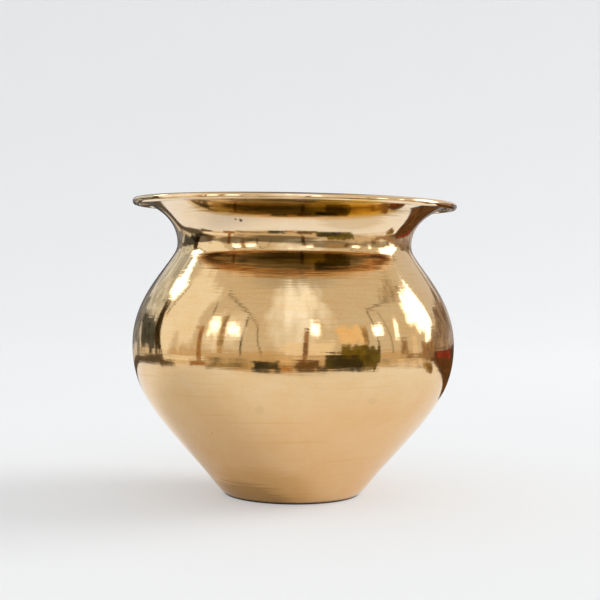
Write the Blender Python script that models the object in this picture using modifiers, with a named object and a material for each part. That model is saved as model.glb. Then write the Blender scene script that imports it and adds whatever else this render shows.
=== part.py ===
"""A brass lota: a small round-bellied water pot of thin sheet brass.

Three turned shells, a bowl, a shoulder and a flared neck, lap into each other and are brazed.
The neck's edge is curled over a wire. The pot stands on z = 0, about the Z axis, in metres.
"""

import math

import bpy
from mathutils import Vector

NAME = "brass_lota"

# Outside of the pot. The rim stands out just past the belly
BASE_DIAMETER = 0.0501
BELLY_DIAMETER = 0.1193
BELLY_HEIGHT = 0.0558
SHOULDER_HEIGHT = 0.0371
THROAT_DIAMETER = 0.0869
NECK_HEIGHT = 0.0161
RIM_OVERHANG = 0.00035

# Run of the wall between those places: its lean from upright, and how far each tangent reaches
CONE_LEAN = math.radians(40.1)
CONE_REACH = 0.0352
LOWER_BELLY_REACH = 0.0200
UPPER_BELLY_REACH = 0.0157
SHOULDER_REACH = 0.0096
COLLAR_LEAN = math.radians(32.0)
COLLAR_RADIUS = 0.0070
THROAT_REACH = 0.0089
FLARE_REACH = 0.0073
FLARE_LEAN = math.radians(74.0)

# Base
BASE_CORNER_RADIUS = 0.0013
FOOT_RING_WIDTH = 0.0055
BASE_DISH = 0.0012

# Sheet, laps and braze
WALL = 0.0007
BRAZE_GAP = 0.0002
BELLY_LAP = 0.0040
THROAT_LAP = 0.0026
BELLY_FILLET_HEIGHT = 0.0014
FILLET_TIP = 0.00015

# Rim
WIRE_DIAMETER = 0.0010
WIRE_CLEARANCE = 0.0001
CURL_GAP = 0.0003

# Facets
TURN_STEPS = 56
DISH_STEPS = 4
CORNER_STEPS = 2
BOWL_STEPS = 11
SHOULDER_STEPS = 8
COLLAR_STEPS = 3
FLARE_STEPS = 8
CURL_STEPS = 10
LAP_STEPS = 2
FILLET_STEPS = 3
WIRE_SIDES = 10
SHARP_ANGLE = math.radians(40.0)
BISECTIONS = 40

# Finishes: linear colour and roughness
SATIN_BRASS = ((0.72, 0.47, 0.20), 0.28)
BRIGHT_BRASS = ((0.78, 0.53, 0.24), 0.16)
WIRE_BRASS = ((0.70, 0.45, 0.19), 0.35)
BRAZE_ALLOY = ((0.80, 0.60, 0.32), 0.45)


class Curve:
    """A cubic curve up the outside of the pot, with the metal on its left.

    It is given by its two ends and the tangent at each, whose length is how far the tangent reaches.
    """

    def __init__(self, start, start_tangent, end, end_tangent):
        self.controls = (start, start + start_tangent, end - end_tangent, end)

    def at(self, t, depth=0.0):
        """The point at t, sunk this deep into the metal."""
        a, b, c, d = self.controls
        u = 1 - t
        point = a * u**3 + b * 3 * u * u * t + c * 3 * u * t * t + d * t**3
        along = (b - a) * u * u + (c - b) * 2 * u * t + (d - c) * t * t
        along.normalize()
        return point + depth * Vector((-along.y, along.x))

    def run(self, first, last, steps, depth=0.0):
        """Points from one parameter to another."""
        return [self.at(first + (last - first) * i / steps, depth) for i in range(steps + 1)]


def at_height(curve, height):
    """The parameter at which a curve that climbs all the way reaches this height."""
    low, high = 0.0, 1.0
    for _ in range(BISECTIONS):
        middle = (low + high) / 2
        if curve.at(middle).y < height:
            low = middle
        else:
            high = middle
    return (low + high) / 2


def arc(centre, radius, first, last, steps):
    """Points on a circle between two angles."""
    angles = [first + (last - first) * i / steps for i in range(steps + 1)]
    return [centre + radius * Vector((math.cos(a), math.sin(a))) for a in angles]


# Places that the pieces share
throat_height = BELLY_HEIGHT + SHOULDER_HEIGHT
rim_height = throat_height + NECK_HEIGHT
belly = Vector((BELLY_DIAMETER / 2, BELLY_HEIGHT))
throat = Vector((THROAT_DIAMETER / 2, throat_height))
base_edge = Vector((BASE_DIAMETER / 2, 0))
upright = Vector((0, 1))
outward = Vector((1, 0))
cone_direction = Vector((math.sin(CONE_LEAN), math.cos(CONE_LEAN)))
shoulder_direction = Vector((-math.sin(COLLAR_LEAN), math.cos(COLLAR_LEAN)))
flare_direction = Vector((math.sin(FLARE_LEAN), math.cos(FLARE_LEAN)))

# A lapped edge is set in by one wall and the braze gap, on a 45 degree step
lap_depth = WALL + BRAZE_GAP
step_gap = BRAZE_GAP * math.sqrt(2)
step_mitre = WALL * math.tan(math.radians(22.5))

# The rim's bead is the wire with the sheet round it
bead_radius = WIRE_DIAMETER / 2 + WIRE_CLEARANCE + WALL
curl_radius = bead_radius - WALL
bead = Vector((belly.x + RIM_OVERHANG - bead_radius, rim_height - bead_radius))
curl_start = math.pi - FLARE_LEAN
curl_turn = math.radians(270.0) + math.asin((curl_radius - CURL_GAP) / bead_radius)
flare_end = bead + curl_radius * Vector((math.cos(curl_start), math.sin(curl_start)))

# The collar's round is hollow outward, so its centre lies outside the pot
collar_centre = throat + outward * COLLAR_RADIUS
collar_foot = collar_centre - COLLAR_RADIUS * Vector((math.cos(COLLAR_LEAN), math.sin(COLLAR_LEAN)))

corner_setback = BASE_CORNER_RADIUS * math.tan((math.pi / 2 - CONE_LEAN) / 2)
corner_centre = Vector((base_edge.x - corner_setback, BASE_CORNER_RADIUS))
dish_edge = Vector((corner_centre.x - FOOT_RING_WIDTH, 0))

dish_line = Curve(
    Vector((0, BASE_DISH)), outward * dish_edge.x / 2, dish_edge, outward * dish_edge.x / 2
)
bowl_line = Curve(
    base_edge + cone_direction * corner_setback,
    cone_direction * CONE_REACH,
    belly,
    upright * LOWER_BELLY_REACH,
)
shoulder_line = Curve(
    belly,
    upright * UPPER_BELLY_REACH,
    collar_foot,
    shoulder_direction * SHOULDER_REACH,
)
flare_line = Curve(
    throat, upright * THROAT_REACH, flare_end, flare_direction * FLARE_REACH
)


def bowl_profile():
    """Dished base, cone and lower belly, with the top edge set in to enter the shoulder."""
    lap_start = at_height(shoulder_line, belly.y + lap_depth)
    lap_end = at_height(shoulder_line, belly.y + lap_depth + BELLY_LAP)

    def base(depth):
        corner = arc(
            corner_centre, BASE_CORNER_RADIUS - depth, -math.pi / 2, -CONE_LEAN, CORNER_STEPS
        )
        return dish_line.run(0, 1, DISH_STEPS, depth) + corner

    outside = base(0) + bowl_line.run(0, 1, BOWL_STEPS)[1:]
    outside += shoulder_line.run(lap_start, lap_end, LAP_STEPS, lap_depth)
    inside = base(WALL) + bowl_line.run(0, 1, BOWL_STEPS, WALL)[1:-1]
    inside += [
        belly - Vector((WALL, step_mitre)),
        belly + Vector((-lap_depth - WALL, lap_depth - step_mitre)),
    ]
    inside += shoulder_line.run(lap_start, lap_end, LAP_STEPS, lap_depth + WALL)[1:]
    return inside + outside[::-1]


def collar_angle(drop, depth):
    """The angle on the collar's round, this deep in the metal, this far below the throat."""
    return math.pi + math.asin(drop / (COLLAR_RADIUS + depth))


def shoulder_profile():
    """Belly seam to collar, with both edges bevelled to meet the steps of their neighbours."""

    def side(edge_gap, depth):
        foot = at_height(shoulder_line, belly.y + edge_gap)
        collar = arc(
            collar_centre,
            COLLAR_RADIUS + depth,
            math.pi + COLLAR_LEAN,
            collar_angle(edge_gap, depth),
            COLLAR_STEPS,
        )
        return shoulder_line.run(foot, 1, SHOULDER_STEPS, depth) + collar[1:]

    return side(step_gap + WALL, WALL) + side(step_gap, 0)[::-1]


def neck_profile():
    """Sleeve in the collar, flare, and the edge curled outward over the wire."""
    sleeve_top = throat - Vector((lap_depth, lap_depth))
    sleeve_foot = sleeve_top - upright * THROAT_LAP

    def curl(radius):
        return arc(bead, radius, curl_start, curl_start - curl_turn, CURL_STEPS)

    outside = [sleeve_foot, sleeve_top] + flare_line.run(0, 1, FLARE_STEPS)
    outside += curl(curl_radius)[1:]
    inside = [
        sleeve_foot - outward * WALL,
        sleeve_top + Vector((-WALL, step_mitre)),
        throat + Vector((-WALL, step_mitre)),
    ]
    inside += flare_line.run(0, 1, FLARE_STEPS, WALL)[1:] + curl(bead_radius)[1:]
    return inside + outside[::-1]


def belly_braze_profile():
    """Fillet of braze on the bowl's set-in edge, against the inside of the shoulder."""
    foot = belly.y + lap_depth + BELLY_LAP + BRAZE_GAP
    first = at_height(shoulder_line, foot)
    last = at_height(shoulder_line, foot + BELLY_FILLET_HEIGHT)
    face = []
    for i in range(FILLET_STEPS + 1):
        share = i / FILLET_STEPS
        depth = lap_depth + WALL * (1 - share) ** 2
        face.append(shoulder_line.at(first + (last - first) * share, depth))
    return face + [shoulder_line.at(first, lap_depth)]


def throat_braze_profile():
    """Wedge of braze between the neck's sleeve and the collar, which opens out below the throat."""
    sleeve_side = throat.x - WALL
    foot_drop = lap_depth + THROAT_LAP
    radius = COLLAR_RADIUS + lap_depth
    tip = math.pi + math.acos((collar_centre.x - sleeve_side - FILLET_TIP) / radius)
    collar_side = arc(
        collar_centre, radius, tip, collar_angle(foot_drop, lap_depth), FILLET_STEPS
    )
    return [
        Vector((sleeve_side, throat.y - foot_drop)),
        Vector((sleeve_side, collar_side[0].y)),
    ] + collar_side


def material(name, finish):
    colour, roughness = finish
    made = bpy.data.materials.new(name)
    made.use_nodes = True
    shader = made.node_tree.nodes["Principled BSDF"]
    shader.inputs["Base Color"].default_value = (*colour, 1)
    shader.inputs["Metallic"].default_value = 1
    shader.inputs["Roughness"].default_value = roughness
    return made


def finished(obj, finish, collection, parent):
    """Shades the piece, and gives it its material, collection and parent."""
    obj.data.shade_smooth()
    obj.data.set_sharp_from_angle(angle=SHARP_ANGLE)
    obj.data.materials.append(material(f"{obj.name}_metal", finish))
    for other in obj.users_collection:
        other.objects.unlink(obj)
    collection.objects.link(obj)
    obj.parent = parent


def turned(name, profile, seat, closed=True):
    """The profile turned about Z, as an object that sits at the seat's height."""
    points = [(p.x, 0, p.y - seat) for p in profile]
    edges = [(i, i + 1) for i in range(len(points) - 1)]
    if closed:
        edges.append((len(points) - 1, 0))
    mesh = bpy.data.meshes.new(name)
    mesh.from_pydata(points, edges, [])
    obj = bpy.data.objects.new(name, mesh)
    obj.location.z = seat
    bpy.context.scene.collection.objects.link(obj)
    turn = obj.modifiers.new("Turn", "SCREW")
    turn.steps = turn.render_steps = TURN_STEPS
    turn.use_merge_vertices = True
    turn.merge_threshold = 0.00001
    bpy.context.view_layer.objects.active = obj
    bpy.ops.object.modifier_apply(modifier=turn.name)
    return obj


def wire_ring(name):
    """The round wire inside the rim's curl."""
    bpy.ops.mesh.primitive_torus_add(
        major_segments=TURN_STEPS,
        minor_segments=WIRE_SIDES,
        major_radius=bead.x,
        minor_radius=WIRE_DIAMETER / 2,
        location=(0, 0, bead.y),
    )
    obj = bpy.context.object
    obj.name = obj.data.name = name
    return obj


def main():
    for obj in list(bpy.data.objects):
        bpy.data.objects.remove(obj)
    collection = bpy.data.collections.new(NAME)
    bpy.context.scene.collection.children.link(collection)
    pot = bpy.data.objects.new(NAME, None)
    collection.objects.link(pot)

    pieces = [
        (turned("lower_bowl", bowl_profile(), 0, closed=False), SATIN_BRASS),
        (turned("shoulder", shoulder_profile(), belly.y), BRIGHT_BRASS),
        (turned("neck_and_mouth", neck_profile(), throat.y), BRIGHT_BRASS),
        (wire_ring("rim_wire"), WIRE_BRASS),
        (turned("belly_braze", belly_braze_profile(), belly.y), BRAZE_ALLOY),
        (turned("throat_braze", throat_braze_profile(), throat.y), BRAZE_ALLOY),
    ]
    for obj, finish in pieces:
        finished(obj, finish, collection, pot)


main()
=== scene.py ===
"""A polished brass lota on a pale floor, dressed on the frame's own shapes."""

import itertools
import math

import bmesh
import bpy
import numpy as np
from mathutils import Matrix, Vector, noise


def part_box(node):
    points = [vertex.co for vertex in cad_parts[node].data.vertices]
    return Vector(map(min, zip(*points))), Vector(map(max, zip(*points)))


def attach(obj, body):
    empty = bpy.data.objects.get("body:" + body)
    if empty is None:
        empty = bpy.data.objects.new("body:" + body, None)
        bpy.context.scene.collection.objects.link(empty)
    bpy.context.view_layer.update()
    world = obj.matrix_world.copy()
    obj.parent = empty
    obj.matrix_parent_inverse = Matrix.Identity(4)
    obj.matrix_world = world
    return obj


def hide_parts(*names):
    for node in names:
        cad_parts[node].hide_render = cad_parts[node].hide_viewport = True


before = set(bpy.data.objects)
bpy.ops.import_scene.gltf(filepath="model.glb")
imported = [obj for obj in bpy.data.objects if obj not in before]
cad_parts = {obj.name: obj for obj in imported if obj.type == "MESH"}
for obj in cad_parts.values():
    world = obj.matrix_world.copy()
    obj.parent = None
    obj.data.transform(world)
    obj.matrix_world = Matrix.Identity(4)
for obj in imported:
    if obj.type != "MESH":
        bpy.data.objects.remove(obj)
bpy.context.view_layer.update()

# Camera: distance in front of the axis, height, aim and lens
CAMERA_DISTANCE = 0.470
CAMERA_HEIGHT = 0.0844
CAMERA_TILT = math.radians(-1.48)
CAMERA_TURN = math.radians(-0.284)
CAMERA_ROLL = math.radians(0.666)
CAMERA_LENS = 75.4

# Reading the frame's sections
PLANE_REACH = 1e-6
KEY_DECIMALS = 5
CORNER_TURN = math.radians(35.0)
SEAM_REACH = 0.00035

# Fine meshes
SEGMENTS = 256
RUN_STEPS = 4
WELD_REACH = 1e-7
TURNING_UV = "Turning"

# Hand-made unevenness: out of round in two and three lobes, lean of the mouth, shallow ripples
ROUNDNESS = 0.0010
TWO_LOBE_TURN = 0.9
THREE_LOBE_TURN = 2.0
THREE_LOBE_SHARE = 0.5
MOUTH_LEAN = math.radians(0.40)
RIPPLE_SIZE = 0.014
RIPPLE_DEPTH = 0.000012

# Linear colours of the metal, and the heights between which it turns from golden to bright; the
# brighter tone above the belly and on the neck is painted reflection
GOLDEN_BRASS = (0.87, 0.60, 0.32)
SHEEN_BRASS = (0.875, 0.675, 0.415)
NECK_SHEEN_BRASS = (0.94, 0.755, 0.53)
BRAZE_ALLOY = (0.80, 0.60, 0.32)
BRIGHT_FROM = 0.036
BRIGHT_TO = 0.062

# Slot, and its colour low on the pot and above the belly, roughness and depth of turning lines
METALS = {
    "bowl_brass": (GOLDEN_BRASS, SHEEN_BRASS, 0.08, 0.000030),
    "shoulder_brass": (GOLDEN_BRASS, SHEEN_BRASS, 0.08, 0.000030),
    "neck_brass": (GOLDEN_BRASS, NECK_SHEEN_BRASS, 0.08, 0.000012),
    "wire_brass": (GOLDEN_BRASS, GOLDEN_BRASS, 0.25, 0.000004),
    "braze_alloy": (BRAZE_ALLOY, BRAZE_ALLOY, 0.38, 0.000020),
}
ANISOTROPY = 0.6
ANISOTROPY_TURN = 0.25

# Turning lines: how they drift along the wall, how close they are, and their share low on the pot
DRIFT_SCALE = 18.0
DRIFT_REACH = 0.0012
LINE_SCALE = 360.0
LINE_SHARE = 0.8
LOW_LINE_SHARE = 0.2

# Streaks of the polish: how often they come round the pot and along the wall, and how they darken
STREAK_SCALE = (80.0, 80.0, 1100.0)
STREAK_RANGE = (0.45, 0.75)
STREAK_STRENGTH = 0.38
LOW_STREAK_SHARE = 0.25

# Fine peel of the surface
PEEL_SCALE = 420.0
PEEL_DEPTH = 0.000005
LOW_PEEL_SHARE = 0.4

# Patches of wear: scale, detail and roughness of the noise, where they begin and are full, strength
STAINS = (26.0, 5.0, 0.6, 0.50, 0.75, 0.45)
CLOUDS = (70.0, 6.0, 0.65, 0.42, 0.72, 0.5)
GRAIN = (1300.0, 1.0, 0.5, 0.3, 0.7, 0.35)
SCRATCHES = (1.0, 0.0, 0.5, 0.68, 0.80, 0.45)
PIT_FIELD = (42.0, 2.0, 0.5, 0.70, 0.76, 1.0)

# Scratches: how they slant, and how often they come across, through and up the pot
SCRATCH_TURN = (0.0, math.radians(2.0), 0.0)
SCRATCH_SCALE = (30.0, 30.0, 1500.0)

# Roughness, which varies in soft patches
ROUGH_SCALE = 34.0
ROUGH_DETAIL = 4.0
ROUGH_RANGE = (0.3, 0.7)
ROUGH_SHARES = (0.85, 1.3)

# Small pits: those that come by chance, and those with a place and a size
PIT_SCALE = 230.0
PIT_EDGE = (0.02, 0.10)
PIT_RAGGED = 2.0
PIT_SHARES = (1.3, 2.0)
PIT_DEPTH = 0.000020
PIT_DIRT = (0.10, 0.05, 0.02)
PIT_DIRT_SHARE = 0.85
PIT_ROUGHNESS = 0.3
PITS = (
    ((-0.0202, -0.0413, 0.1006), 0.0007),
    ((-0.0184, -0.0419, 0.1002), 0.0008),
    ((-0.0034, -0.0438, 0.0963), 0.0004),
    ((-0.0297, -0.0521, 0.1080), 0.0006),
)

# Painted shade on the edge of the foot, where it meets the floor
FOOT_SHADE = (0.030, 0.013, 0.005)
FOOT_SHADE_FROM = 0.0005
FOOT_SHADE_TO = 0.0011

# Painted reflection and shade under the collar, under the rim and its tips and in the throat, and
# stains with painted shade low on the wall
RIM_SHADE = (0.34, 0.21, 0.020)
DARK_SHADE = (0.085, 0.045, 0.012)
GOLDEN_REFLECTION = (0.60, 0.38, 0.15)
DARK_REFLECTION = (0.10, 0.075, 0.028)
LENS_REFLECTION = (0.165, 0.158, 0.100)
GOLDEN_RIM_REFLECTION = (0.80, 0.49, 0.045)
FOOT_STAIN_AND_SHADE = (0.72, 0.42, 0.14)
DARK_STAIN_AND_SHADE = (0.36, 0.21, 0.07)
MARK_RAGGED = 0.6
MARK_EDGE = (0.85, 1.15)
# A wall counts as the outside where its normal, times its radius, points out by this much
OUTSIDE_FROM = 0.002
# Place, reach, strength and colour
PAINTED_SHADE_AND_STAINS = (
    # A dark lens under the collar, with a dark line along its top: painted reflection
    ((0.001, -0.045, 0.0865), (0.034, 0.050, 0.0043), 0.84, LENS_REFLECTION),
    ((-0.0235, -0.0400, 0.0872), (0.0125, 0.0300, 0.0027), 0.65, DARK_REFLECTION),
    ((0.001, -0.045, 0.0883), (0.046, 0.050, 0.0016), 0.78, DARK_REFLECTION),
    # Under the rim: painted shade, darkest at the centre
    ((0.001, -0.052, 0.1043), (0.052, 0.050, 0.0038), 0.92, RIM_SHADE),
    ((-0.005, -0.052, 0.1043), (0.024, 0.050, 0.0036), 0.30, DARK_SHADE),
    # On the right of the flare, and at the right end of the arc under the rim: painted golden
    # reflection
    ((0.0195, -0.0405, 0.1008), (0.016, 0.020, 0.0046), 0.45, GOLDEN_REFLECTION),
    ((0.0190, -0.0470, 0.1045), (0.019, 0.030, 0.0037), 0.85, GOLDEN_RIM_REFLECTION),
    # In the throat: painted shade
    ((-0.0325, -0.0290, 0.0944), (0.0085, 0.0100, 0.0024), 0.90, DARK_SHADE),
    ((-0.0205, -0.0380, 0.0936), (0.0110, 0.0090, 0.0018), 0.75, DARK_SHADE),
    ((-0.0040, -0.0430, 0.0940), (0.0180, 0.0200, 0.0017), 0.78, DARK_REFLECTION),
    ((0.0115, -0.0415, 0.0925), (0.0170, 0.0120, 0.0019), 0.65, DARK_SHADE),
    ((0.0290, -0.0330, 0.0928), (0.0130, 0.0110, 0.0015), 0.50, DARK_REFLECTION),
    # Under the rim's tips: painted shade
    ((-0.0570, 0.0060, 0.1064), (0.0080, 0.0400, 0.0025), 0.95, DARK_SHADE),
    ((0.0570, 0.0060, 0.1064), (0.0080, 0.0400, 0.0025), 0.95, DARK_SHADE),
    # Two faint dark spots on the belly
    ((-0.0110, -0.0539, 0.0369), (0.0020, 0.0060, 0.0020), 0.10, DARK_STAIN_AND_SHADE),
    ((0.0268, -0.0497, 0.0399), (0.0024, 0.0060, 0.0016), 0.10, DARK_STAIN_AND_SHADE),
    # Low on the wall at the front left: a brown stain with painted shade, darkest near the foot
    ((-0.010, -0.026, 0.0060), (0.024, 0.026, 0.0140), 0.50, FOOT_STAIN_AND_SHADE),
    ((-0.015, -0.021, 0.0020), (0.021, 0.023, 0.0090), 0.55, DARK_STAIN_AND_SHADE),
)

# Name, the frame's node that it replaces, and material slot
PIECES = (
    ("bowl_shell", "lower_bowl", "bowl_brass"),
    ("shoulder_shell", "shoulder", "shoulder_brass"),
    ("neck_shell", "neck_and_mouth", "neck_brass"),
    ("wire_ring", "rim_wire", "wire_brass"),
    ("belly_bead", "belly_braze", "braze_alloy"),
    ("throat_bead", "throat_braze", "braze_alloy"),
)

# Stage floor and backdrop, with paper that is part lit and part even
FLOOR_REACH = 30.0
BACKDROP_Y = 1.3
BACKDROP_BEND = 0.5
BACKDROP_TOP = 2.4
BACKDROP_SIDE = 1.5
BEND_STEPS = 16
PAPER = (0.86, 0.86, 0.86)
PAPER_ROUGHNESS = 0.9
PAPER_SPECULAR = 0.1
PAPER_DEPTHS = (-0.2, 1.8)
PAPER_TONES = ((0.0, (0.84, 0.85, 0.86)), (0.5, (0.91, 0.93, 0.945)), (1.0, (0.85, 0.85, 0.87)))
PAPER_SEEN_SHARE = 0.40
PAPER_GLOSSY_SHARE = 0.18

# Pale table top and the ground round it, as the metal shows them
TABLE_CENTRE = Vector((0.036, 0.042))
TABLE_HALF = Vector((0.312, 0.229))
TABLE_SQUARENESS = 2.6
TABLE_BACK_SQUARENESS = 7
ROUND_STEPS = 96
GROUND_REACH = 6.0
GROUND_LIFT = 0.0004
PATCH_LIFT = 0.0006
GROUND_DISTANCES = (0.2, 0.8)
GLOOM = (0.10, 0.08, 0.055)
GROUND_TONES = ((0.0, GLOOM), (0.50, GLOOM), (0.56, (0.66, 0.58, 0.46)), (1.0, (0.68, 0.60, 0.48)))
GROUND_PATCH_SCALE = 6.0
GROUND_PATCH_RANGE = (0.3, 0.7)
GROUND_PATCH_SHIFT = 0.06
GROUND_FRONT = (0.64, 0.50, 0.32)
GROUND_FRONT_EDGE = (-0.04, 0.06)

# Cards that only the metal shows: dim ones are patchy, and soft edges have teeth, numbered by card
CARD_STEP = 4.0
CARD_UV = "Card"
CLUTTER_BELOW = 0.7
CLUTTER = (26.0, 3.0, 0.7, 0.35, 0.65, 1.0)
CLUTTER_SHARES = (0.5, 1.5)
TEETH_SCALE = (5.0, 3.0, 1.0)
TEETH_DEPTH = 0.7
FIRST_TEETH = 13
BELLY_PLACE = Vector((0, 0, 0.055))

# Room light: what lights the pot, what the camera sees, and what the metal shows, by height
ROOM_LIGHT = (0.79, 0.80, 0.81)
ROOM_SEEN = (0.81, 0.82, 0.83)
ROOM_SHOWN = ((0.86, (0.70, 0.62, 0.50)), (0.95, (0.42, 0.39, 0.34)))

# Key light
KEY_AZIMUTH = math.radians(105)
KEY_HEIGHT = math.radians(26)
KEY_DISTANCE = 6.0
KEY_WIDTH = 3.9
KEY_LENGTH = 3.0
KEY_POWER = 261.0

# Name, outline on the table and linear colour
PATCHES = (
    (
        "brown_patch",
        (
            (0.105, 0.136), (0.160, 0.126), (0.225, 0.112),
            (0.450, 0.120), (0.600, 0.600), (0.135, 0.600),
        ),
        (0.11, 0.05, 0.016),
    ),
    (
        "golden_patch",
        (
            (0.200, 0.050), (0.250, 0.022), (0.345, 0.030),
            (0.400, 0.075), (0.300, 0.092), (0.250, 0.075),
        ),
        (0.26, 0.16, 0.05),
    ),
    (
        "right_ground",
        ((0.338, -0.050), (0.800, -0.120), (0.800, 0.120), (0.345, 0.120)),
        (0.30, 0.19, 0.09),
    ),
)

# Name, distance, azimuths, heights, linear colour, softness and shear
CARDS = (
    ("front_bright", 0.52, (-24, 34), (-3, 70), (1.14, 1.18, 1.24), 0.36),
    ("left_bright", 0.52, (-116, -68), (-8, 54), (0.98, 0.95, 0.88), 0.12),
    ("left_far", 0.51, (-186, -138), (-12, 15.5), (0.22, 0.22, 0.22), 0.10),
    ("left_low", 0.50, (-142, -110), (-14, 17), (0.080, 0.082, 0.072), 0.15),
    ("left_silver", 0.49, (-166, -118), (12, 42), (0.62, 0.64, 0.62), 0.05),
    ("left_window", 0.48, (-131, -113), (29, 39.5), (3.0, 3.1, 3.2), 0.05),
    ("left_bar", 0.46, (-111, -103), (-12, 28), (0.04, 0.025, 0.008), 0.08, -10),
    ("left_sill", 0.21, (-108, -90), (-15, -10), (0.10, 0.07, 0.02)),
    ("back_top", 0.45, (-222, -138), (26, 76), (0.22, 0.20, 0.18), 0.20),
    ("back_dark", 0.44, (-204, -156), (-12, 76), (0.05, 0.05, 0.05), 0.10),
    ("right_far", 0.51, (140, 186), (-12, 13), (0.38, 0.33, 0.30), 0.10),
    ("right_pale", 0.50, (116, 168), (12, 42), (0.70, 0.64, 0.58), 0.05),
    ("right_low", 0.49, (107, 150), (-14, 12), (0.32, 0.24, 0.19), 0.10),
    ("right_brown", 0.488, (122, 158), (4, 18.5), (0.26, 0.19, 0.14), 0.12),
    ("right_dark", 0.485, (111, 178), (-14, -2.5), (0.10, 0.055, 0.03), 0.10),
    ("right_red", 0.48, (117, 150), (-9.5, -3.5), (0.27, 0.035, 0.02), 0.15),
    ("right_dim", 0.49, (82, 114), (37, 48), (0.48, 0.39, 0.28), 0.25),
    ("window_left", 0.47, (90, 106), (18, 36), (3.0, 3.0, 3.0), 0.20, 6),
    ("window", 0.47, (98, 121), (11, 39), (4.0, 4.0, 4.0), 0.18, 2),
    ("window_leg", 0.47, (104, 113), (2, 17), (3.0, 3.0, 3.0), 0.30, 5),
    ("right_clutter", 0.465, (99, 118), (-14, 5), (0.32, 0.20, 0.11), 0.12),
    ("block_left", 0.155, (21, 34), (-24, -1), (0.05, 0.04, 0.010), 0.08),
    ("block_middle", 0.160, (31, 53), (-24, 8), (0.15, 0.11, 0.015), 0.06),
    ("block_low", 0.150, (27, 50), (-24, -4), (0.05, 0.04, 0.012), 0.10),
    ("block_right", 0.155, (50, 62), (-24, 6), (0.13, 0.10, 0.02), 0.08),
    ("wall_tan", 0.52, (30, 54), (6, 28), (0.95, 0.70, 0.42), 0.12),
    ("wall_post", 0.51, (49.5, 54.5), (6, 26), (0.42, 0.28, 0.13), 0.10),
    ("litter", 0.165, (-64, -27), (-24, -12), (0.34, 0.26, 0.13), 0.12),
    ("litter_left", 0.22, (-100, -62), (-16, -12.5), (0.92, 0.80, 0.62)),
    ("litter_right", 0.22, (62, 110), (-16, -12.5), (0.60, 0.46, 0.30)),
    ("far_litter", 0.28, (-64, -27), (-14, -7), (0.44, 0.35, 0.22), 0.12),
    ("far_litter_middle", 0.28, (-12, 0), (-14, -7), (0.85, 0.66, 0.42)),
    ("front_low", 0.50, (-10, 30), (-12, 12), (0.95, 0.86, 0.72), 0.15),
    ("far_litter_left", 0.28, (-103, -62), (-14, -7), (0.98, 0.92, 0.80)),
    ("far_litter_right", 0.28, (60, 112), (-14, -7), (0.60, 0.50, 0.36)),
    ("low_clump", 0.135, (-29, -8), (-25, -9.5), (0.05, 0.045, 0.018), 0.08),
    ("low_dark", 0.136, (16, 24), (-25, -14), (0.07, 0.050, 0.018), 0.10),
    ("low_orange", 0.137, (-12, 0), (-25, -14), (0.40, 0.20, 0.05)),
    ("stand_base", 0.135, (0, 18), (-25, -8.5), (0.14, 0.075, 0.02), 0.08),
    ("stand", 0.19, (5.8, 9.6), (-12, 28), (0.31, 0.17, 0.08), 0.08, 2),
    ("left_stand", 0.19, (-69.5, -65.5), (-14, 24), (0.40, 0.20, 0.07), 0.08),
    ("left_foot", 0.185, (-77, -62), (-15.5, -10), (0.33, 0.16, 0.04), 0.08),
    ("left_cap", 0.19, (-74, -66), (20.5, 22), (0.40, 0.22, 0.09)),
    ("tan_stand", 0.50, (-53, -47.5), (-3, 37), (0.48, 0.34, 0.18), 0.06, -3),
    ("lamp_glow", 0.515, (-67, -33), (-4, 41), (0.95, 0.91, 0.83), 0.30),
    ("lamp_a", 0.48, (-63, -52), (11, 34), (2.6, 2.6, 2.6), 0.30, -3),
    ("lamp_b", 0.48, (-48, -36), (13, 30), (2.6, 2.6, 2.6), 0.24, -2),
    ("lamp_c", 0.48, (12, 20), (15, 35), (3.2, 3.2, 3.2), 0.30),
    ("lamp_d", 0.48, (57, 67), (13, 27), (3.0, 3.0, 3.0), 0.25, 2),
    ("lamp_e", 0.48, (75, 79), (8, 29), (2.4, 2.4, 2.4), 0.20, 5),
    ("shelf_brown", 0.50, (79, 87), (-9, 10), (0.34, 0.23, 0.13), 0.20),
    ("shelf_pale", 0.50, (90, 97), (-9, 14), (0.85, 0.75, 0.60), 0.20),
)

# Name, distance, directions, width and linear colour
RIBBONS = (
    (
        "left_edge",
        0.45,
        ((-111, 41), (-109.5, 36), (-109.3, 31), (-109.5, 26), (-109, 21)),
        1.5,
        (0.14, 0.10, 0.05),
    ),
    (
        "arch",
        0.60,
        ((-64, 29), (-69, 43), (-68, 52), (-48, 46), (-36, 40)),
        1.3,
        (0.17, 0.12, 0.06),
    ),
    ("arch_leg", 0.60, ((-36, 40), (-26, 28), (-24, 9), (-21, -4)), 0.9, (0.24, 0.19, 0.10)),
    ("thin_left", 0.55, ((-35, 36), (-35, 21), (-36, 8), (-36, -5)), 1.4, (0.10, 0.07, 0.03)),
    ("right_beam", 0.60, ((112, 40), (97, 41), (81, 41), (62, 39)), 1.2, (0.14, 0.09, 0.04)),
    ("thin_right", 0.55, ((62, 39), (61, 25), (61, 10), (62, -2)), 1.1, (0.20, 0.15, 0.08)),
    ("thin_far_right", 0.55, ((71, 37), (71, 25), (72, 10), (73, -3)), 0.8, (0.26, 0.19, 0.11)),
)

throat_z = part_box("shoulder")[1][2]
rim_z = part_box("neck_and_mouth")[1][2]
belly_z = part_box("shoulder")[0][2]
belly_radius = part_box("shoulder")[1][0]
teeth_numbers = itertools.count(FIRST_TEETH)


def linked(name, data):
    """A new object in the scene."""
    obj = bpy.data.objects.new(name, data)
    bpy.context.scene.collection.objects.link(obj)
    return obj


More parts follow.
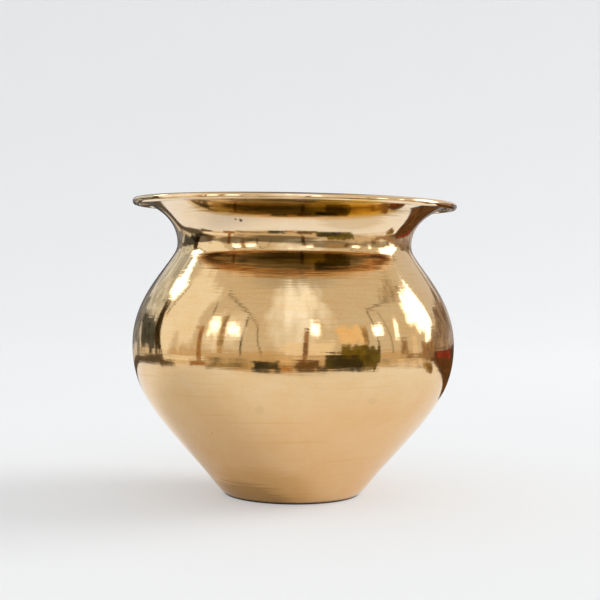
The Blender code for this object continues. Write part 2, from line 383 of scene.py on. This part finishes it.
def plane_points(mesh):
    """Points of the half plane y = 0, x >= 0, and which of them are joined by an edge."""
    keys = []
    points = {}
    links = {}
    for vertex in mesh.vertices:
        x, y, z = vertex.co
        key = None
        if abs(y) < PLANE_REACH and x > -PLANE_REACH:
            key = (round(x, KEY_DECIMALS), round(z, KEY_DECIMALS))
            points[key] = np.array((max(x, 0.0), z))
            links.setdefault(key, set())
        keys.append(key)
    for edge in mesh.edges:
        a, b = (keys[i] for i in edge.vertices)
        if a and b and a != b:
            links[a].add(b)
            links[b].add(a)
    return points, links


def chains(links):
    """The joined points, end to end."""
    left = set(links)
    found = []
    while left:
        ends = [key for key in left if len(links[key] & left) < 2]
        here = min(ends or left)
        chain = []
        while here:
            chain.append(here)
            left.discard(here)
            here = min(links[here] & left, default=None)
        found.append(chain)
    return found


def section(node):
    """The node's outline in the half plane, in order, and whether it is a closed loop."""
    points, links = plane_points(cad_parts[node].data)
    parts = chains(links)
    line = parts.pop(0)

    def distance(part, end):
        return min(math.dist(part[0], end), math.dist(part[-1], end))

    while parts:
        if min(distance(p, line[0]) for p in parts) < min(distance(p, line[-1]) for p in parts):
            line.reverse()
        part = min(parts, key=lambda p: distance(p, line[-1]))
        parts.remove(part)
        if math.dist(part[-1], line[-1]) < math.dist(part[0], line[-1]):
            part.reverse()
        line += part
    closed = points[line[0]][0] > PLANE_REACH
    return np.array([points[key] for key in line]), closed


def corner_places(line, closed):
    """Where the outline turns sharply, and its ends when it is open."""
    count = len(line)
    places = []
    for i in range(count):
        if not closed and i in (0, count - 1):
            places.append(i)
            continue
        before = line[i] - line[i - 1]
        after = line[(i + 1) % count] - line[i]
        turn = math.atan2(before[0] * after[1] - before[1] * after[0], before @ after)
        if abs(turn) > CORNER_TURN:
            places.append(i)
    return places


def joined(line, closed, others):
    """Closes hairline seams: corners move onto the neighbours' corners that they nearly touch."""
    line = line.copy()
    targets = [other[i] for other, ring in others for i in corner_places(other, ring)]
    for i in corner_places(line, closed):
        nearest = min(targets, key=lambda t: math.dist(t, line[i]))
        if math.dist(nearest, line[i]) < SEAM_REACH:
            line[i] = nearest
    return line


def smooth_run(points):
    """The same run in finer steps, along a curve of even curvature."""
    gaps = np.linalg.norm(np.diff(points, axis=0), axis=1)
    slopes = np.diff(points, axis=0) / gaps[:, None]
    count = len(points)
    matrix = np.zeros((count, count))
    right = np.zeros((count, 2))
    matrix[0, :2] = 1
    matrix[-1, -2:] = 1
    right[0] = 2 * slopes[0]
    right[-1] = 2 * slopes[-1]
    for i in range(1, count - 1):
        matrix[i, i - 1] = gaps[i]
        matrix[i, i] = 2 * (gaps[i - 1] + gaps[i])
        matrix[i, i + 1] = gaps[i - 1]
        right[i] = 3 * (gaps[i] * slopes[i - 1] + gaps[i - 1] * slopes[i])
    tangents = np.linalg.lstsq(matrix, right, rcond=None)[0]
    fine = []
    for i, gap in enumerate(gaps):
        for step in range(RUN_STEPS):
            t = step / RUN_STEPS
            u = 1 - t
            fine.append(
                points[i] * u * u * (1 + 2 * t)
                + points[i + 1] * t * t * (3 - 2 * t)
                + gap * t * u * (tangents[i] * u - tangents[i + 1] * t)
            )
    return fine


def fine_section(line, closed):
    """The whole outline in finer steps, with its corners kept."""
    places = corner_places(line, closed)
    if closed:
        first = places[0] if places else 0
        line = np.roll(line, -first, axis=0)
        places = [p - first for p in places] or [0]
        line = np.vstack((line, line[:1]))
        places.append(len(line) - 1)
    fine = []
    for first, last in zip(places, places[1:]):
        fine += smooth_run(line[first:last + 1])
    if not closed:
        fine.append(line[-1])
    return np.maximum(fine, line.min(axis=0))


def eased(value, low, high):
    """From 0 at the low value to 1 at the high one, with soft ends."""
    t = np.clip((value - low) / (high - low), 0, 1)
    return t * t * (3 - 2 * t)


def uneven(points):
    """Moves points the way hand work leaves them, the same for every piece at one place."""
    x, y, z = points.T
    angle = np.arctan2(y, x)
    body = eased(z, 0, belly_z)
    three_lobes = np.sin(3 * angle + THREE_LOBE_TURN + z / rim_z)
    swell = ROUNDNESS * body * np.sin(2 * angle + TWO_LOBE_TURN)
    swell += THREE_LOBE_SHARE * ROUNDNESS * body * three_lobes
    ripple = np.array([noise.noise(Vector(p) / RIPPLE_SIZE) for p in points])
    radius = np.maximum(np.hypot(x, y), PLANE_REACH)
    grow = 1 + swell + ripple * body * RIPPLE_DEPTH / radius
    lean = math.tan(MOUTH_LEAN) * eased(z, throat_z, rim_z)
    return np.column_stack((x * grow, y * grow, z - x * lean))


def turned(name, fine, closed):
    """A mesh of the section turned about Z.

    Its UV runs round the pot, and along the section in metres.
    """
    rows = len(fine)
    angles = np.linspace(0, 2 * math.pi, SEGMENTS, endpoint=False)
    radius = fine[:, 0][:, None]
    x = radius * np.cos(angles)
    y = radius * np.sin(angles)
    z = np.repeat(fine[:, 1][:, None], SEGMENTS, axis=1)
    points = uneven(np.column_stack((x.ravel(), y.ravel(), z.ravel())))
    steps = np.linalg.norm(np.diff(fine, axis=0, append=fine[:1]), axis=1)
    along = np.concatenate(([0], np.cumsum(steps)))
    faces = []
    uvs = []
    for row in range(rows if closed else rows - 1):
        here = row * SEGMENTS
        above = (row + 1) % rows * SEGMENTS
        for column in range(SEGMENTS):
            beside = (column + 1) % SEGMENTS
            faces.append((here + column, here + beside, above + beside, above + column))
            u = column / SEGMENTS
            v = (column + 1) / SEGMENTS
            uvs += [u, along[row], v, along[row], v, along[row + 1], u, along[row + 1]]
    mesh = bpy.data.meshes.new(name)
    mesh.from_pydata(points, [], faces)
    mesh.uv_layers.new(name=TURNING_UV).data.foreach_set("uv", uvs)
    return linked(name, mesh)


def finished(obj):
    """Welds the centre, turns the faces outward and shades the piece."""
    work = bmesh.new()
    work.from_mesh(obj.data)
    bmesh.ops.remove_doubles(work, verts=work.verts, dist=WELD_REACH)
    bmesh.ops.recalc_face_normals(work, faces=work.faces)
    work.to_mesh(obj.data)
    work.free()
    obj.data.shade_smooth()
    obj.data.set_sharp_from_angle(angle=CORNER_TURN)


class Nodes:
    """Short calls for building the node tree of a material or a world."""

    def __init__(self, owner):
        owner.use_nodes = True
        self.owner = owner
        self.tree = owner.node_tree
        self.nodes = self.tree.nodes

    def put(self, value, socket):
        """Sets or links a socket. A colour is three values."""
        if isinstance(value, tuple) and socket.type == "RGBA":
            value = (*value, 1)
        if isinstance(value, (int, float, tuple)):
            socket.default_value = value
        else:
            self.tree.links.new(value, socket)

    def add(self, kind, *values, **settings):
        """A new node, with values for its first inputs."""
        node = self.nodes.new(kind)
        for key, setting in settings.items():
            setattr(node, key, setting)
        for value, socket in zip(values, node.inputs):
            self.put(value, socket)
        return node

    def place(self):
        return self.add("ShaderNodeTexCoord").outputs["Object"]

    def split(self, vector):
        return self.add("ShaderNodeSeparateXYZ", vector).outputs

    def combine(self, *values):
        return self.add("ShaderNodeCombineXYZ", *values).outputs[0]

    def maths(self, operation, *values):
        return self.add("ShaderNodeMath", *values, operation=operation).outputs[0]

    def vector(self, operation, *values):
        return self.add("ShaderNodeVectorMath", *values, operation=operation).outputs["Vector"]

    def measure(self, operation, *values):
        """Vector maths that gives one value."""
        return self.add("ShaderNodeVectorMath", *values, operation=operation).outputs["Value"]

    def remap(self, value, low, high, to_low, to_high):
        return self.add("ShaderNodeMapRange", value, low, high, to_low, to_high).outputs[0]

    def mix(self, factor, first, second):
        node = self.add("ShaderNodeMix", factor, data_type="RGBA")
        self.put(first, node.inputs[6])
        self.put(second, node.inputs[7])
        return node.outputs[2]

    def ramp(self, value, stops):
        """Colours between stops, each a position and a colour."""
        node = self.add("ShaderNodeValToRGB", value)
        elements = node.color_ramp.elements
        for position, _ in stops[1:-1]:
            elements.new(position)
        for element, (position, colour) in zip(elements, stops):
            element.position = position
            element.color = (*colour, 1)
        return node.outputs[0]

    def noise(self, vector, scale=1.0, detail=2.0, roughness=0.5):
        node = self.add("ShaderNodeTexNoise")
        self.put(vector, node.inputs["Vector"])
        self.put(scale, node.inputs["Scale"])
        self.put(detail, node.inputs["Detail"])
        self.put(roughness, node.inputs["Roughness"])
        return node.outputs[0]

    def lines(self, along, scale):
        """Noise along one direction."""
        node = self.add("ShaderNodeTexNoise", noise_dimensions="1D")
        self.put(along, node.inputs["W"])
        self.put(scale, node.inputs["Scale"])
        return node.outputs[0]

    def patches(self, vector, scale, detail, roughness, low, high, strength):
        """Noise that counts from the low value on, and is at full strength from the high one."""
        return self.remap(self.noise(vector, scale, detail, roughness), low, high, 0.0, strength)

    def even(self, colour):
        """A tone that is not lit by anything."""
        return self.add("ShaderNodeEmission", colour).outputs[0]

    def blend(self, share, first, second):
        return self.add("ShaderNodeMixShader", share, first, second).outputs[0]

    def show(self, surface):
        self.put(surface, self.nodes["Material Output"].inputs[0])


def dulled(colour):
    """The colour of the same metal where its polish is worn."""
    return tuple(c * c**0.5 for c in colour)


def pitted(n, place, peel):
    """How deep the surface is in a pit, from 0 to 1."""
    chance = n.add("ShaderNodeTexVoronoi")
    n.put(place, chance.inputs["Vector"])
    n.put(PIT_SCALE, chance.inputs["Scale"])
    deep = n.remap(chance.outputs["Distance"], *PIT_EDGE, 1.0, 0.0)
    pits = n.maths("MULTIPLY", deep, n.patches(place, *PIT_FIELD))
    for spot, size in PITS:
        away = n.measure("DISTANCE", place, spot)
        ragged = n.maths("MULTIPLY_ADD", peel, size * PIT_RAGGED, away)
        near, far = (size * share for share in PIT_SHARES)
        pits = n.maths("MAXIMUM", pits, n.remap(ragged, near, far, 1.0, 0.0))
    return pits


def worn_polish(n, place, streaks, streak_share):
    """How worn the polish is: the stains and clouds, with the streaks, grain and scratches."""
    stain = n.patches(place, *STAINS)
    streak = n.remap(streaks, *STREAK_RANGE, 0.0, STREAK_STRENGTH)
    streak = n.maths("ADD", streak, n.patches(place, *GRAIN))
    streak = n.maths("MULTIPLY", streak, streak_share)
    cloud = n.patches(place, *CLOUDS)
    slant = n.add("ShaderNodeVectorRotate", rotation_type="EULER_XYZ")
    n.put(place, slant.inputs["Vector"])
    n.put(SCRATCH_TURN, slant.inputs["Rotation"])
    scratch = n.patches(n.vector("MULTIPLY", slant.outputs[0], SCRATCH_SCALE), *SCRATCHES)
    soft = n.maths("MAXIMUM", stain, cloud)
    return n.maths("ADD", soft, n.maths("MAXIMUM", streak, scratch))


def shaded_and_stained(n, tone, place, level, streaks):
    """The tone with the patches of painted reflection and shade, and of stain, which are on the
    outside wall only.
    """
    normal = n.add("ShaderNodeNewGeometry").outputs["Normal"]
    outside = n.remap(n.measure("DOT_PRODUCT", level, normal), 0.0, OUTSIDE_FROM, 0.0, 1.0)
    for spot, reach, strength, colour in PAINTED_SHADE_AND_STAINS:
        offset = n.vector("SUBTRACT", place, spot)
        away = n.measure("LENGTH", n.vector("DIVIDE", offset, reach))
        ragged = n.maths("MULTIPLY_ADD", streaks, MARK_RAGGED, away)
        cover = n.maths("MULTIPLY", n.remap(ragged, *MARK_EDGE, strength, 0.0), outside)
        tone = n.mix(cover, tone, colour)
    return tone


def brass(name, golden, bright, roughness, line_depth):
    """Turned and polished brass: turning lines, stains, small pits and a fine grain.

    It is golden low on the pot and bright above the belly, where the turning lines are deeper; the
    brighter tone is painted reflection.
    """
    n = Nodes(bpy.data.materials.new(name))
    shader = n.nodes["Principled BSDF"].inputs
    place = n.place()
    x, y, z = n.split(place)
    upper = n.remap(z, BRIGHT_FROM, BRIGHT_TO, 0.0, 1.0)

    def rising(full, low_share):
        """A value that is full above the belly, and a share of that low on the pot."""
        return n.remap(upper, 0.0, 1.0, full * low_share, full)

    uv = n.add("ShaderNodeUVMap", uv_map=TURNING_UV).outputs[0]
    drift = n.noise(place, DRIFT_SCALE)
    along = n.maths("MULTIPLY_ADD", drift, DRIFT_REACH, n.split(uv)[1])
    coarse = n.lines(along, LINE_SCALE)
    streaks = n.noise(n.vector("MULTIPLY", n.combine(x, y, along), STREAK_SCALE))
    lines = n.maths("ADD", streaks, n.maths("MULTIPLY", coarse, LINE_SHARE))
    height = n.maths("MULTIPLY", lines, rising(line_depth, LOW_LINE_SHARE))
    peel = n.noise(place, PEEL_SCALE)
    height = n.maths("MULTIPLY_ADD", peel, rising(PEEL_DEPTH, LOW_PEEL_SHARE), height)
    pits = pitted(n, place, peel)
    height = n.maths("MULTIPLY_ADD", pits, -PIT_DEPTH, height)
    bump = n.add("ShaderNodeBump")
    n.put(1.0, bump.inputs["Strength"])
    n.put(1.0, bump.inputs["Distance"])
    n.put(height, bump.inputs["Height"])
    n.put(bump.outputs[0], shader["Normal"])

    worn = worn_polish(n, place, streaks, rising(1.0, LOW_STREAK_SHARE))
    low_tone, high_tone = (n.mix(worn, colour, dulled(colour)) for colour in (golden, bright))
    # Golden below, and brighter above the belly as painted reflection.
    tone = n.mix(upper, low_tone, high_tone)
    # Painted reflection and shade, and stains, on the outside wall.
    tone = shaded_and_stained(n, tone, place, n.combine(x, y), streaks)
    # Painted shade along the edge of the foot: dark, rough and not metallic.
    foot_shade = n.remap(z, FOOT_SHADE_FROM, FOOT_SHADE_TO, 1.0, 0.0)
    tone = n.mix(foot_shade, tone, FOOT_SHADE)
    tone = n.mix(n.maths("MULTIPLY", pits, PIT_DIRT_SHARE), tone, PIT_DIRT)
    n.put(tone, shader["Base Color"])

    least, most = (roughness * share for share in ROUGH_SHARES)
    rough = n.remap(n.noise(place, ROUGH_SCALE, ROUGH_DETAIL), *ROUGH_RANGE, least, most)
    rough = n.maths("MULTIPLY_ADD", pits, PIT_ROUGHNESS, rough)
    n.put(n.maths("ADD", rough, foot_shade), shader["Roughness"])
    n.put(n.maths("SUBTRACT", 1.0, foot_shade), shader["Metallic"])
    n.put(ANISOTROPY, shader["Anisotropic"])
    n.put(ANISOTROPY_TURN, shader["Anisotropic Rotation"])
    tangent = n.add("ShaderNodeTangent", direction_type="RADIAL", axis="Z")
    n.put(tangent.outputs[0], shader["Tangent"])
    return n.owner


def glow(name, colour, softness):
    """An even tone, patchy when it is dim, that fades out toward the card's ragged edges."""
    n = Nodes(bpy.data.materials.new(name))
    n.nodes.remove(n.nodes["Principled BSDF"])
    number = next(teeth_numbers)
    tone = colour
    if max(colour) < CLUTTER_BELOW:
        dim, light = (tuple(share * c for c in colour) for share in CLUTTER_SHARES)
        tone = n.mix(n.patches(n.place(), *CLUTTER), dim, light)
    cover = 1.0
    if softness:
        spread = n.add("ShaderNodeUVMap", uv_map=CARD_UV).outputs[0]
        own = n.vector("MULTIPLY_ADD", spread, TEETH_SCALE, (number, 0.0, 0.0))
        teeth = n.maths("MULTIPLY_ADD", n.noise(own), TEETH_DEPTH, -TEETH_DEPTH / 2)
        for across in n.split(spread)[:2]:
            edge = n.maths("MINIMUM", across, n.maths("SUBTRACT", 1.0, across))
            edge = n.maths("ADD", edge, teeth)
            cover = n.maths("MULTIPLY", cover, n.remap(edge, 0.0, softness, 0.0, 1.0))
    clear = n.add("ShaderNodeBsdfTransparent").outputs[0]
    n.show(n.blend(cover, clear, n.even(tone)))
    return n.owner


def pale_paper():
    """Paper that is part lit and part even, so that it stays pale and keeps a soft shadow."""
    n = Nodes(bpy.data.materials.new("pale_paper"))
    shader = n.nodes["Principled BSDF"]
    n.put(PAPER, shader.inputs["Base Color"])
    n.put(PAPER_ROUGHNESS, shader.inputs["Roughness"])
    n.put(PAPER_SPECULAR, shader.inputs["Specular IOR Level"])
    _, y, z = n.split(n.place())
    depth = n.remap(n.maths("ADD", y, z), *PAPER_DEPTHS, 0.0, 1.0)
    even = n.even(n.ramp(depth, PAPER_TONES))
    ray = n.add("ShaderNodeLightPath").outputs
    share = n.maths("MULTIPLY", ray["Is Camera Ray"], PAPER_SEEN_SHARE)
    share = n.maths("MULTIPLY_ADD", ray["Is Glossy Ray"], PAPER_GLOSSY_SHARE, share)
    n.show(n.blend(share, shader.outputs[0], even))
    return n.owner


def room_ground():
    """Ground round the table: one tone in front, and behind dim near the table, light far out."""
    n = Nodes(bpy.data.materials.new("room_ground"))
    n.nodes.remove(n.nodes["Principled BSDF"])
    place = n.place()
    far = n.remap(n.measure("LENGTH", place), *GROUND_DISTANCES, 0.0, 1.0)
    patches = n.noise(place, GROUND_PATCH_SCALE)
    shift = n.remap(patches, *GROUND_PATCH_RANGE, -GROUND_PATCH_SHIFT, GROUND_PATCH_SHIFT)
    tones = n.ramp(n.maths("ADD", far, shift), GROUND_TONES)
    behind = n.remap(n.split(place)[1], *GROUND_FRONT_EDGE, 0.0, 1.0)
    n.show(n.even(n.mix(behind, GROUND_FRONT, tones)))
    return n.owner


def stage_mesh(name, points, faces, material):
    """A mesh that belongs to the stage."""
    mesh = bpy.data.meshes.new(name)
    mesh.from_pydata(points, [], faces)
    mesh.materials.append(material)
    obj = linked(name, mesh)
    return obj


def only_reflected(obj):
    """A card that is seen in the metal, and nowhere else."""
    obj.visible_camera = False
    obj.visible_diffuse = False
    obj.visible_transmission = False
    obj.visible_shadow = False


def floor_and_backdrop():
    """A pale floor that bends up behind the pot, and runs on at both sides."""
    bend_y = BACKDROP_Y - BACKDROP_BEND
    path = [(-FLOOR_REACH, 0.0), (bend_y, 0.0)]
    for i in range(1, BEND_STEPS + 1):
        a = math.pi / 2 * i / BEND_STEPS
        y = bend_y + BACKDROP_BEND * math.sin(a)
        path.append((y, BACKDROP_BEND - BACKDROP_BEND * math.cos(a)))
    path.append((BACKDROP_Y, BACKDROP_TOP))
    points = []
    for y, z in path:
        points += [(-BACKDROP_SIDE, y, z), (BACKDROP_SIDE, y, z)]
    faces = [(2 * i, 2 * i + 1, 2 * i + 3, 2 * i + 2) for i in range(len(path) - 1)]
    near, far = BACKDROP_SIDE, FLOOR_REACH
    for side in (-1, 1):
        first = len(points)
        for x, y in ((near, -far), (far, -far), (far, far), (near, far)):
            points.append((side * x, y, 0.0))
        faces.append(tuple(range(first, first + 4))[::side])
    obj = stage_mesh("floor_and_backdrop", points, faces, pale_paper())
    obj.data.shade_smooth()


def ground_card():
    """What lies round the table, as the metal shows it."""
    points = []
    for i in range(ROUND_STEPS):
        a = 2 * math.pi * i / ROUND_STEPS
        way = Vector((math.cos(a), math.sin(a)))
        power = TABLE_SQUARENESS if way.y < 0 else TABLE_BACK_SQUARENESS
        bulge = sum(abs(c) ** power for c in way) ** (-1 / power)
        points.append((*(TABLE_CENTRE + bulge * way * TABLE_HALF), GROUND_LIFT))
        points.append((*(GROUND_REACH * way), GROUND_LIFT))
    count = len(points)
    faces = [(i, i + 1, (i + 3) % count, (i + 2) % count) for i in range(0, count, 2)]
    only_reflected(stage_mesh("ground_card", points, faces, room_ground()))


def table_patch(name, outline, colour):
    """A flat patch of colour on the table, as the metal shows it."""
    points = [(x, y, PATCH_LIFT) for x, y in outline]
    only_reflected(stage_mesh(name, points, [range(len(points))], glow(name, colour, 0.0)))


def direction(azimuth, height):
    """A direction from the pot: azimuth from the camera's side toward +X, and angle above level."""
    level = math.cos(height)
    return Vector((math.sin(azimuth) * level, -math.cos(azimuth) * level, math.sin(height)))


def shown(azimuth, height, distance):
    """The place this far off that the belly shows in this direction, in degrees."""
    azimuth = math.radians(azimuth)
    wall = BELLY_PLACE + belly_radius * direction(azimuth / 2, 0)
    spot = wall + distance * direction(azimuth, 0)
    spot.z = max(spot.z + distance * math.tan(math.radians(height)), 0)
    return spot


def strip_faces(count):
    """Faces of a strip whose points come in pairs, low and high."""
    return [(2 * i, 2 * i + 2, 2 * i + 3, 2 * i + 1) for i in range(count)]


def card(name, distance, azimuths, heights, colour, softness=0.06, shear=0.0):
    """A card shown between two azimuths and two heights, its top moved aside by the shear."""
    left, right = azimuths
    steps = max(1, math.ceil((right - left) / CARD_STEP))
    points = []
    for i in range(steps + 1):
        azimuth = left + (right - left) * i / steps
        points.append(shown(azimuth, heights[0], distance))
        points.append(shown(azimuth + shear, heights[1], distance))
    obj = stage_mesh(name, points, strip_faces(steps), glow(name, colour, softness))
    uvs = []
    for i in range(steps):
        first = i / steps
        last = (i + 1) / steps
        uvs += [first, 0, last, 0, last, 1, first, 1]
    obj.data.uv_layers.new(name=CARD_UV).data.foreach_set("uv", uvs)
    only_reflected(obj)


def ribbon(name, distance, corners, width, colour):
    """A narrow card along a line of directions."""
    points = []
    for i, (azimuth, height) in enumerate(corners):
        before = corners[max(i - 1, 0)]
        after = corners[min(i + 1, len(corners) - 1)]
        along = Vector((after[0] - before[0], after[1] - before[1])).normalized()
        for side in (-width / 2, width / 2):
            points.append(shown(azimuth - side * along.y, height + side * along.x, distance))
    faces = strip_faces(len(corners) - 1)
    only_reflected(stage_mesh(name, points, faces, glow(name, colour, 0.0)))


def world_light():
    """Even white light, which the metal shows as a warm mid tone, dimmer straight above."""
    world = bpy.data.worlds.new("soft_room")
    bpy.context.scene.world = world
    n = Nodes(world)
    height = n.split(n.add("ShaderNodeTexCoord").outputs["Generated"])[2]
    room = n.ramp(height, ROOM_SHOWN)
    ray = n.add("ShaderNodeLightPath").outputs
    plain = n.mix(ray["Is Camera Ray"], ROOM_LIGHT, ROOM_SEEN)
    n.put(n.mix(ray["Is Glossy Ray"], plain, room), n.nodes["Background"].inputs["Color"])


def key_light():
    """A large soft window on the right, which casts the shadow."""
    light = bpy.data.lights.new("key", "AREA")
    light.shape = "RECTANGLE"
    light.size = KEY_WIDTH
    light.size_y = KEY_LENGTH
    light.energy = KEY_POWER
    obj = linked("key", light)
    obj.location = BELLY_PLACE + KEY_DISTANCE * direction(KEY_AZIMUTH, KEY_HEIGHT)
    obj.visible_glossy = False
    aim = BELLY_PLACE - obj.location
    obj.rotation_euler = aim.to_track_quat("-Z", "Y").to_euler()


metals = {slot: brass(slot, *values) for slot, values in METALS.items()}
sections = {node: section(node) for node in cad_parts}

for name, node, slot in PIECES:
    line, closed = sections[node]
    if node == "shoulder":
        line = joined(line, closed, [sections["lower_bowl"], sections["neck_and_mouth"]])
    piece = turned(name, fine_section(line, closed), closed)
    finished(piece)
    piece.data.materials.append(metals[slot])
    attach(piece, "root")
    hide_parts(node)

floor_and_backdrop()
ground_card()
for values in PATCHES:
    table_patch(*values)
for values in CARDS:
    card(*values)
for values in RIBBONS:
    ribbon(*values)
world_light()
key_light()

camera_data = bpy.data.cameras.new("camera")
camera_data.lens = CAMERA_LENS
camera = linked("camera", camera_data)
camera.matrix_world = (
    Matrix.Translation((0, -CAMERA_DISTANCE, CAMERA_HEIGHT))
    @ Matrix.Rotation(CAMERA_TURN, 4, "Z")
    @ Matrix.Rotation(math.pi / 2 + CAMERA_TILT, 4, "X")
    @ Matrix.Rotation(CAMERA_ROLL, 4, "Z")
)
bpy.context.scene.camera = camera

bpy.context.scene.view_settings.view_transform = "Standard"
